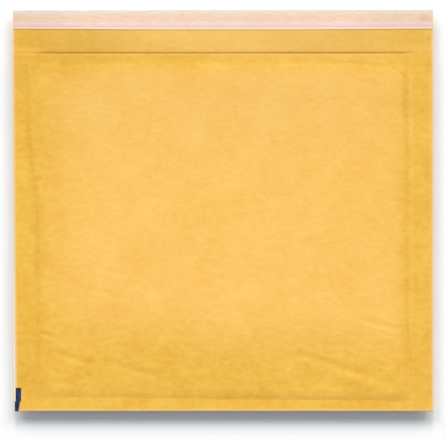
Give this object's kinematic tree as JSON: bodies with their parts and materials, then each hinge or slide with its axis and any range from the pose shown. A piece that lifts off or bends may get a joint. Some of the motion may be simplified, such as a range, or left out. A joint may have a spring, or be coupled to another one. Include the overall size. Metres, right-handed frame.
{
  "type": "padded envelope",
  "caption": "Flat kraft mailer folded from one sheet, lined with bubble film, with a flap that carries a glue strip under its release liner.",
  "frame": {"origin": "bottom centre of the envelope's box, on the surface that its back panel lies on", "axes": "+X along the width, +Y from the bottom fold towards the flap, +Z out of the front panel"},
  "size_m": [0.2, 0.1912, 0.0064],
  "materials": {
    "kraft_paper": "matte",
    "bubble_film": "glossy",
    "hot_melt_glue": "satin",
    "release_paper": "satin"
  },
  "bodies": {
    "root": {"kraft_cover": "kraft_paper", "bubble_lining": "bubble_film", "adhesive_strip": "hot_melt_glue", "release_liner": "release_paper"}
  },
  "joints": []
}
